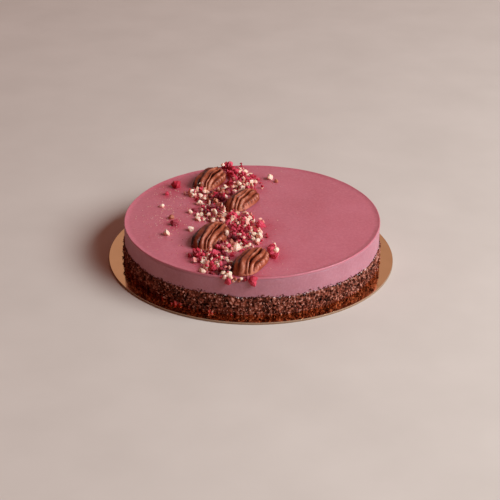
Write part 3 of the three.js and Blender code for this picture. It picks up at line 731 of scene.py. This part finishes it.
def ridges(position, u, wobble, index):
    """Depth below the round ridges and the painted light and shade of each ridge.

    The points lie `position` round the half and `u` along it.
    """
    swing = np.where(u < 0, PECAN_SWING[0] * np.abs(u) ** 1.4, -PECAN_SWING[1] * u)
    edges, depths = [], []
    for k, (place, deep) in enumerate(PECAN_FOLDS):
        run = np.c_[u * 2.4, 0 * u + 7 * k, 0 * u + index]
        stray = wobble + 0.03 * smooth_noise(run, 0.8, 150)
        stray += 0.02 * math.sin(5.1 * k + 2.3 * index)
        edges.append(place + math.sin(math.pi * place) * (stray + swing))
        depths.append(deep * (1 + 0.45 * smooth_noise(run, 1.0, 160)))
    depth = np.zeros(len(position))
    ridge_painted_light = np.zeros(len(position))
    blunt = smoothstep(-u, 0.1, 0.8)
    for k in range(len(PECAN_FOLDS) - 1):
        here = (position >= edges[k]) & (position < edges[k + 1])
        part = (position[here] - edges[k][here]) / (edges[k + 1][here] - edges[k][here])
        side = smoothstep(part, 0.2, 0.8)
        deep = depths[k][here] * (1 - side) + depths[k + 1][here] * side
        depth[here] = deep * np.abs(2 * part - 1) ** PECAN_SHARPNESS[k]
        paler = PECAN_RIDGE_PAINTED_LIGHT[k] + BLUNT_END_PAINTED_LIGHT[k] * blunt[here]
        ridge_painted_light[here] = paler * (1 - (2 * part - 1) ** 2)
    return depth, ridge_painted_light


def pecan_half(index):
    """Points of a half kernel lying on Z = 0 along X, with a shade for each point: painted shade
    in the grooves and on the left side, and painted light on the bulges and pale ridges.
    """
    share = np.linspace(0, 1, PECAN_STATIONS + 2)[1:-1]
    along = -np.cos(np.pi * share)
    around = np.linspace(0, 2 * np.pi, PECAN_COLUMNS, endpoint=False)
    u = np.repeat(along, PECAN_COLUMNS)
    cos, sin = np.tile(np.cos(around), PECAN_STATIONS), np.tile(np.sin(around), PECAN_STATIONS)
    unit = np.c_[u * 18, cos * 10, sin * 8] + 40 * index
    bluntness = np.where(u < 0, 4, 2.5)
    taper = np.clip(1 - np.abs(u) ** bluntness, 0, 1) ** 0.58
    uneven = smooth_noise(unit, 9, 90 + index)
    half_width = PECAN_WIDTH / 2 * taper * (1 + 0.04 * u + 0.05 * uneven)
    above = np.clip(sin, 0, 1)
    y = half_width * cos
    z = PECAN_HEIGHT * taper**0.75 * (1 + 0.05 * uneven) * above**0.8
    x = PECAN_LENGTH / 2 * u
    upper = smoothstep(above, 0.03, 0.25)
    full = taper**0.4
    wobble = 0.025 * layered_noise(unit * [1, 0, 0], 8, 100 + index, 2)
    # At the blunt end the ridges run on side by side; at the other they come together.
    straight = 1 - smoothstep(u, -0.5, 0.3)
    position = np.arccos(cos * (1 - straight * (1 - taper))) / np.pi
    depth, ridge_painted_light = ridges(position, u, wobble, index)
    depth = depth * full * upper
    across = layered_noise(unit * [1, 0.3, 0.3], 2.7, 110 + index, 2)
    lumps = layered_noise(unit * [0.7, 1, 1], 2.1, 120 + index, 3)
    right_lobe = smoothstep(position, PECAN_FOLDS[-2][0], PECAN_FOLDS[-2][0] + 0.08)
    bumps = 0.4 * np.sin(1.65 * x + 3 * smooth_noise(unit, 9, 140 + index)) * right_lobe
    swell = ((0.2 + 0.1 * right_lobe) * across + 0.24 * lumps + bumps) * upper * full
    push = 1 - (depth - swell) / np.maximum(np.hypot(y, z), 1)
    y, z = y * push, z * push
    x = x - np.sign(u) * 0.8 * depth * np.abs(u) ** 6
    z = np.where(sin < 0, 0.4 * sin**2 * taper, np.maximum(z, 0.02))
    threads = smooth_noise(np.c_[0.12 * x, 22 * position, 0 * x], 1, 130 + index)
    painted_flank_shade = 0.24 * (1 - smoothstep(position, 0.3, 0.56))
    patches = 0.12 * layered_noise(unit * [0.6, 1, 1], 4, 170 + index, 2)
    # Painted light and shade: darker in the grooves and on the left side, paler on the bulges and
    # the pale ridges; the threads and patches are the skin's own colour.
    shade = 0.74 + ridge_painted_light - 0.25 * depth + 0.45 * swell + 0.1 * threads + patches - painted_flank_shade
    return np.c_[x, y, z], np.clip(shade, 0, 1)


def pecan_matrix(spot):
    """From the half's own axes to the row frame, in millimetres."""
    tilt = Matrix.Rotation(math.atan(RISE_TO_BACK / CAKE_RADIUS), 4, "X")
    tilt = tilt @ Matrix.Rotation(-math.atan(RISE_TO_RIGHT / CAKE_RADIUS), 4, "Y")
    lean = math.radians(spot["lean"])
    lift = PECAN_WIDTH / 2 * PECAN_WIDEST * math.sin(abs(lean))
    stand = Matrix.Translation((*CENTRE, GLAZE_TOP))
    place = Matrix.Translation((spot["x"], spot["y"], lift + 0.5 * LAYER_GAP))
    turn = Matrix.Rotation(math.radians(spot["turn"]), 4, "Z") @ Matrix.Rotation(lean, 4, "X")
    return stand @ tilt @ place @ turn @ Matrix.Scale(spot["scale"], 4)


def build_pecans(material):
    for index, spot in enumerate(PECANS):
        points, shade = pecan_half(index)
        tips = [[-PECAN_LENGTH / 2, 0, 0.3], [PECAN_LENGTH / 2, 0, 0.3]]
        points = np.vstack([points, tips])
        matrix = np.array(pecan_matrix(spot))
        points = points @ matrix[:3, :3].T + matrix[:3, 3]
        faces = closed_faces(PECAN_STATIONS, PECAN_COLUMNS)
        tint = np.concatenate([shade, [PECAN_TIP_SHADE] * 2])
        piece = make_object(f"pecan_half_{index + 1}", points, faces, material, tint=tint)
        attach(piece, "root")
        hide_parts(f"pecan_{index + 1}")


# ---- Small pieces ----


class Draw:
    """The seeded draw that the part's source uses, number for number."""

    def __init__(self, seed):
        self.state = seed

    def __call__(self):
        word = 0xFFFFFFFF
        self.state += 0x6D2B79F5
        t = self.state & word
        t = ((t ^ (t >> 15)) * (t | 1)) & word
        t ^= (t + (((t ^ (t >> 7)) * (t | 61)) & word)) & word
        return (t ^ (t >> 14)) / 4294967296


def band_edges(y):
    """The band's left and right edge at y, between the two nearest given places."""
    rows = np.array(BAND_EDGES)
    return np.interp(y, rows[:, 0], rows[:, 1]), np.interp(y, rows[:, 0], rows[:, 2])


def clear_of_pecans(x, y, size):
    for spot in PECANS:
        turn = math.radians(spot["turn"])
        dx, dy = x - spot["x"], y - spot["y"]
        along = dx * math.cos(turn) + dy * math.sin(turn)
        across = dy * math.cos(turn) - dx * math.sin(turn)
        margin = size * CRUMB_REACH + LAYER_GAP
        half_length = PECAN_LENGTH / 2 * spot["scale"] + margin
        half_width = PECAN_WIDTH / 2 * spot["scale"] * PECAN_WIDEST + margin
        if (along / half_length) ** 2 + (across / half_width) ** 2 <= 1:
            return False
    return True


def scatter_large():
    """The larger pieces, as [x, y, size, lifted, kind or None]: the marked ones come first."""
    draw = Draw(CRUMB_SEED)
    chosen = [c for c in LONE_CRUMBS + MARKED_CRUMBS if clear_of_pecans(*c[:3])]
    placed = [(x, y, size, False, kind) for x, y, size, kind in chosen]
    inside = CAKE_RADIUS - LIP_ROUND
    for k in range(CRUMB_COUNT):
        share = (1 - k / CRUMB_COUNT) ** 1.5
        size = CRUMB_SMALLEST + (CRUMB_LARGEST - CRUMB_SMALLEST) * share
        for _ in range(CRUMB_TRIES):
            y = (2 * draw() - 1) * BAND_HALF_LENGTH
            left, right = band_edges(y)
            x = left + (right - left) * draw()
            apart = all(
                math.hypot(p[0] - x, p[1] - y) > CRUMB_SPACING * (p[2] + size) for p in placed
            )
            if apart and math.hypot(x, y) + size / 2 < inside and clear_of_pecans(x, y, size):
                placed.append((x, y, size, k % SECOND_LAYER_EVERY == 0, None))
                break
    return placed


def kind_of(x, y, draw, loose=3.0):
    """The kind of the marked piece that lies nearest, each seen a little out of place."""
    spots = np.array([spot[:2] for spot in MARKED_CRUMBS])
    spots = spots + draw.normal(0, loose, spots.shape)
    nearest = np.argmin(np.hypot(spots[:, 0] - x, spots[:, 1] - y))
    return MARKED_CRUMBS[nearest][3]


def resting_height(x, y, size, placed):
    """Height of a piece's middle above the glaze, lying on the glaze or on other pieces."""
    middle = size * CRUMB_FLATNESS * (0.5 - CRUMB_SUNK)
    for other_x, other_y, other_size, other_middle in placed:
        reach = (size + other_size) * PILE_REACH
        distance = math.hypot(other_x - x, other_y - y)
        if distance < reach:
            rise = reach * CRUMB_FLATNESS * math.sqrt(1 - (distance / reach) ** 2)
            middle = max(middle, other_middle + rise)
    return middle


def wrapped(points):
    """Corners and triangles of the skin stretched over scattered points."""
    shape = bmesh.new()
    for point in points:
        shape.verts.new(point)
    result = bmesh.ops.convex_hull(shape, input=shape.verts)
    loose = {*result["geom_interior"], *result["geom_unused"]}
    bmesh.ops.delete(shape, geom=[v for v in loose if isinstance(v, bmesh.types.BMVert)])
    bmesh.ops.triangulate(shape, faces=shape.faces)
    shape.verts.index_update()
    corners = np.array([v.co[:] for v in shape.verts])
    faces = np.array([[v.index for v in f.verts] for f in shape.faces])
    shape.free()
    return corners, faces


def split(points, faces):
    """Each triangle as four."""
    edges = np.sort(np.vstack([faces[:, [0, 1]], faces[:, [1, 2]], faces[:, [2, 0]]]), axis=1)
    kept, index = np.unique(edges, axis=0, return_inverse=True)
    first, second, third = index.reshape(3, -1) + len(points)
    points = np.vstack([points, points[kept].mean(axis=1)])
    corner = faces.T
    parts = [
        (corner[0], first, third),
        (corner[1], second, first),
        (corner[2], third, second),
        (first, second, third),
    ]
    return points, np.vstack([np.stack(part, axis=1) for part in parts])


def chips(draw, count, corners, roughness, splits, least=0.7, spread=0.2, roundness=0.0):
    """Shapes for broken bits: flat faces and blunt corners, with a rough surface.

    `least` is their smallest width over their length, `spread` how far the corners stray, and
    `roundness` how much the faces swell.
    """
    shapes = []
    for _ in range(count):
        spots = draw.normal(size=(corners, 3))
        spots /= np.linalg.norm(spots, axis=1)[:, None]
        spots *= draw.uniform(1 - spread, 1 + 0.6 * spread, size=(corners, 1))
        widths = np.array([1.05, draw.uniform(least + 0.05, 1.0), draw.uniform(least, 0.95)])
        spots *= widths
        points, faces = wrapped(spots)
        for level in range(splits):
            points, faces = split(points, faces)
            reach = np.linalg.norm(points / widths, axis=1)[:, None]
            points = points * (1 + roundness * (1 / reach - 1))
            outward = points / np.linalg.norm(points, axis=1)[:, None]
            size = 0.6 / 2**level
            bump = smooth_noise(points + draw.uniform(0, 90), size, 7)
            points = points + outward * (roughness / 1.6**level * bump)[:, None]
        shapes.append((points, faces))
    return shapes


def random_turn(draw):
    """A turn about each axis in turn, as a matrix."""
    turn = Matrix.Identity(3)
    for axis in "XYZ":
        turn = Matrix.Rotation(draw.uniform(0, math.tau), 3, axis) @ turn
    return np.array(turn)


def drawn_size(draw, sizes, power):
    """A size between the two given ones; the higher the power, the more of the small ones."""
    return sizes[0] + (sizes[1] - sizes[0]) * draw.random() ** power


class Pieces:
    """Many small pieces of one kind, joined into one mesh."""

    def __init__(self, name, shapes, material, slot):
        self.name, self.shapes, self.material, self.slot = name, shapes, material, slot
        self.points, self.faces, self.tints, self.count = [], [], [], 0

    def add(self, place, size, detail, draw, shade=None):
        """`detail` picks the set of shapes: 0 for dust, 1 for small bits, 2 for large ones."""
        corners, faces = self.shapes[detail][draw.integers(len(self.shapes[detail]))]
        points = corners @ random_turn(draw).T * (size / 2)
        shade = draw.uniform(0, 1) if shade is None else shade
        self.points.append(points + np.asarray(place))
        self.faces.append(faces + self.count)
        self.tints.append(np.clip(shade + draw.normal(0, 0.08, len(corners)), 0, 1))
        self.count += len(corners)

    def build(self):
        points, faces = np.vstack(self.points), [np.vstack(self.faces)]
        tint = np.concatenate(self.tints)
        piece = make_object(self.name, points, faces, self.material, False, tint)
        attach(piece, "root")


# Sets of shapes for dust, small and large bits, as [count, corners, roughness, splits, least
# width, spread, roundness].
NUT_CHIPS = [
    (16, 8, 0, 0),
    (24, 10, 0.08, 1, 0.65, 0.16, 0.15),
    (30, 12, 0.1, 2, 0.75, 0.14, 0.24),
]
CHERRY_CHIPS = [
    (16, 8, 0, 0),
    (24, 10, 0.16, 1, 0.65, 0.2, 0.1),
    (30, 12, 0.18, 3, 0.7, 0.18, 0.16),
]
# Shades of each kind, from its darkest to its palest piece.
SHADES = {
    NUT: [(0.0, (210, 108, 102)), (0.35, (232, 168, 146)), (1.0, (248, 215, 188))],
    CRIMSON: [(0.0, (124, 9, 26)), (0.5, (191, 26, 52)), (1.0, (226, 76, 100))],
    MAROON: [(0.0, (76, 7, 18)), (0.6, (132, 20, 38)), (1.0, (172, 54, 70))],
    BROWN: [(0.0, (120, 50, 34)), (0.6, (178, 92, 66)), (1.0, (208, 136, 104))],
}


def small_piece_kinds():
    draw = np.random.default_rng(11)
    nuts = [chips(draw, *look) for look in NUT_CHIPS]
    cherries = [chips(draw, *look) for look in CHERRY_CHIPS]
    # Each kind's name, shapes, roughness, grain, relief, glow and slot.
    looks = {
        NUT: ("nut_bits", nuts, 0.6, 0.9, 0.08, 0.3, "chopped_nut"),
        CRIMSON: ("cherry_bits", cherries, 0.62, 0.7, 0.14, 0.15, "dried_cherry"),
        MAROON: ("dark_cherry_bits", cherries, 0.6, 0.7, 0.14, 0.12, "dried_cherry"),
        BROWN: ("pecan_bits", nuts, 0.62, 0.7, 0.12, 0.12, "pecan"),
    }
    kinds = {}
    for kind, (name, shapes, *surface, slot) in looks.items():
        material = piece_material(f"{kind}_piece", SHADES[kind], *surface)
        kinds[kind] = Pieces(name, shapes, material, slot)
    return kinds


def on_top(x, y, above):
    """A place on the glaze, given from the cake's middle, in the row frame."""
    return (CENTRE[0] + x, CENTRE[1] + y, SEEN_GLAZE_TOP + top_rise(x, y) + above)


# Counts of the smaller pieces, and their smallest and largest size.
FILLERS, FILLER_SIZES = 560, (1.6, 3.8)
FILLER_SPREAD = 1.2  # how far its corners reach, over its size
HIGHEST_FILLER = 5.5
TURNED_CRIMSON = {MAROON: 0.3, NUT: 0.42}  # share of fillers that are crimson instead
DUST, DUST_SIZES = 1300, (0.25, 0.9)
DUST_KINDS = {CRIMSON: 0.5, NUT: 0.38, MAROON: 0.12}
WIDE_DUST, WIDE_DUST_SIZES = 420, (0.3, 0.8)
POWDER, POWDER_SIZES = 3600, (0.14, 0.45)
LEFT_FLECKS, LEFT_FLECK_SIZES = 240, (0.4, 0.95)
# Where the dust beyond the band lies, as [middle, spread].
WIDE_DUST_X = (-16, 22)
LEFT_FLECK_X, LEFT_FLECK_Y = (-58, 12), (5, 26)
# Pieces that lie on others or lean on a half, as [x, y, middle above the glaze, size, kind].
PERCHED = [
    (-22.5, 81.5, 4.6, 3.4, NUT), (-17, 82.5, 4.4, 5.4, CRIMSON), (-12, 74.5, 3, 4.8, CRIMSON),
    (-17, 70.5, 3.4, 5, CRIMSON), (-13, 61.5, 2.8, 4.6, CRIMSON), (-38.2, 47.2, 4.6, 3.6, NUT),
    (-17.6, -32.4, 4.4, 4.6, NUT), (12.6, -52, 1.6, 6.2, CRIMSON), (13.2, -57, 1.2, 4.6, CRIMSON),
    (15.5, -46.5, 2.6, 3.2, NUT),
]


def band_place(draw, spread, low=-9, high=9):
    """A place in the band; `spread` is how far it strays from the middle, over the width."""
    y = draw.uniform(-1, 1) * BAND_HALF_LENGTH
    left, right = band_edges(y)
    return left + (right - left) * (0.5 + np.clip(draw.normal(0, spread), low, high)), y


def free(x, y, from_rim, size=0):
    """Whether a place is far enough from the rim and clear of the pecan halves."""
    return math.hypot(x, y) <= CAKE_RADIUS - from_rim and clear_of_pecans(x, y, size)


def build_small_pieces():
    """Lays the pieces out, builds them, and gives back where the red ones lie."""
    draw = np.random.default_rng(3)
    kinds = small_piece_kinds()
    placed, red = [], []

    def put(x, y, above, size, detail, kind, shade=None):
        kinds[kind].add(on_top(x, y, above), size, detail, draw, shade)
        if kind in (CRIMSON, MAROON) and size > 1:
            red.append((x, y, size))

    def put_dust(x, y, size, kind, shade=None):
        put(x, y, size * 0.2, size, 0, kind, shade)

    for x, y, size, lifted, kind in scatter_large():
        kind = kind or kind_of(x, y, draw, 1.0)
        lift = SECOND_LAYER_LIFT if lifted else 0
        above = size * (CRUMB_FLATNESS * (0.5 - CRUMB_SUNK) + lift)
        placed.append((x, y, size, above))
        shade = draw.uniform(0.8, 1.0) if kind == NUT else draw.uniform(0.4, 0.9)
        put(x, y, above, size * LARGE_SPREAD, 2, kind, shade)
    for x, y, above, size, kind in PERCHED:
        put(x, y, above, size, 2, kind, 0.85)
    for _ in range(FILLERS):
        size = drawn_size(draw, FILLER_SIZES, 1.3)
        x, y = band_place(draw, 0.32, -0.56, 0.6)
        above = resting_height(x, y, size, placed)
        if above > HIGHEST_FILLER or not free(x, y, 1.5, size * 0.3):
            continue
        placed.append((x, y, size, above))
        kind = kind_of(x, y, draw)
        if draw.random() < TURNED_CRIMSON.get(kind, 0):
            kind = CRIMSON
        shade = draw.uniform(0, 0.75) if kind == NUT else None
        put(x, y, above, size * FILLER_SPREAD, 1, kind, shade)
    for _ in range(DUST):
        size = drawn_size(draw, DUST_SIZES, 2)
        x, y = band_place(draw, 0.42)
        if free(x, y, 1):
            put_dust(x, y, size, draw.choice([*DUST_KINDS], p=[*DUST_KINDS.values()]))
    for _ in range(WIDE_DUST):
        size = draw.uniform(*WIDE_DUST_SIZES)
        y = draw.uniform(-1, 1) * BAND_HALF_LENGTH
        x = draw.normal(*WIDE_DUST_X)
        if free(x, y, 4):
            put_dust(x, y, size, NUT if draw.random() < 0.7 else CRIMSON)
    centres = [spot for spot in red if spot[2] > 2.5]
    for _ in range(POWDER):
        size = draw.uniform(*POWDER_SIZES)
        x, y, near = centres[draw.integers(len(centres))]
        x, y = x + draw.normal(0, 1.1 * near), y + draw.normal(0, 1.1 * near)
        if free(x, y, 1):
            put_dust(x, y, size, NUT if draw.random() < 0.12 else CRIMSON)
    for x, size, drop, kind in RIM_CRUMBS + RIM_BITS:
        y = -math.sqrt((CAKE_RADIUS + size * RIM_CRUMB_OUTSIDE) ** 2 - x * x)
        put(x, y, SOFT_LIP_HEIGHT - drop, size, 2, kind, 0.9 if kind == NUT else 0.65)
    for _ in range(LEFT_FLECKS):
        size = draw.uniform(*LEFT_FLECK_SIZES)
        x, y = draw.normal(*LEFT_FLECK_X), draw.normal(*LEFT_FLECK_Y)
        if math.hypot(x, y) < CAKE_RADIUS - 4:
            put_dust(x, y, size, NUT, draw.uniform(0.5, 1))
    for pieces in kinds.values():
        pieces.build()
    return [spot for spot in red if spot[2] > 2]


# ---- Assembly ----


def build_camera():
    data = bpy.data.cameras.new("camera")
    data.lens = CAMERA_LENS
    data.sensor_width = SENSOR_WIDTH
    data.clip_start, data.clip_end = CAMERA_CLIP
    camera = new_object("camera", data)
    elevation = math.radians(CAMERA_ELEVATION)
    aim = Vector(CAMERA_AIM) * MM
    back = Vector((0, -math.cos(elevation), math.sin(elevation)))
    turn = Matrix.Rotation(math.pi / 2 - elevation, 4, "X")
    roll = Matrix.Rotation(math.radians(CAMERA_ROLL), 4, "Z")
    camera.matrix_world = Matrix.Translation(aim + back * CAMERA_DISTANCE * MM) @ turn @ roll
    bpy.context.scene.camera = camera


def add_area_light(name, place, width, height, power, colour):
    data = bpy.data.lights.new(name, "AREA")
    data.shape = "RECTANGLE"
    data.size = width
    data.size_y = height
    data.energy = power
    data.color = colour
    light = new_object(name, data)
    light.location = place
    toward = Vector(LIGHTS_AIM) - Vector(place)
    light.rotation_euler = toward.to_track_quat("-Z", "Y").to_euler()


def build_lights():
    for light in LIGHTS:
        add_area_light(*light)
    world = bpy.data.worlds.new("studio")
    world.use_nodes = True
    background = world.node_tree.nodes["Background"]
    background.inputs["Color"].default_value = WORLD_COLOUR
    background.inputs["Strength"].default_value = WORLD_STRENGTH
    bpy.context.scene.world = world
    bpy.context.scene.view_settings.view_transform = "Standard"


def build_floor():
    s = Surface("floor", 0.7)
    s.colour(s.ramp(s.noise(60, 3), [(0.3, (206, 194, 182)), (0.7, (212, 200, 188))]))
    corners = FLOOR_HALF * np.array([(-1, -1, 0), (1, -1, 0), (1, 1, 0), (-1, 1, 0)])
    floor = make_object("floor", corners, [[(0, 1, 2, 3)]], s.material)


build_camera()
build_lights()
build_floor()
build_board()
build_sponge(sponge_material("chocolate_sponge"))
build_sponge_grains(
    sponge_material("loose_crumb"),
    piece_material("pale_fleck", PALE_FLECK_SHADES, 0.6, 0.6, 0.05, 0.3),
    piece_material("red_crumb", RED_BIT_SHADES, 0.26, 0.6, 0.08, 0.2),
)
build_mousse(mousse_material())
red_places = build_small_pieces()
build_glaze(glaze_material(), red_places)
build_pecans(pecan_material())
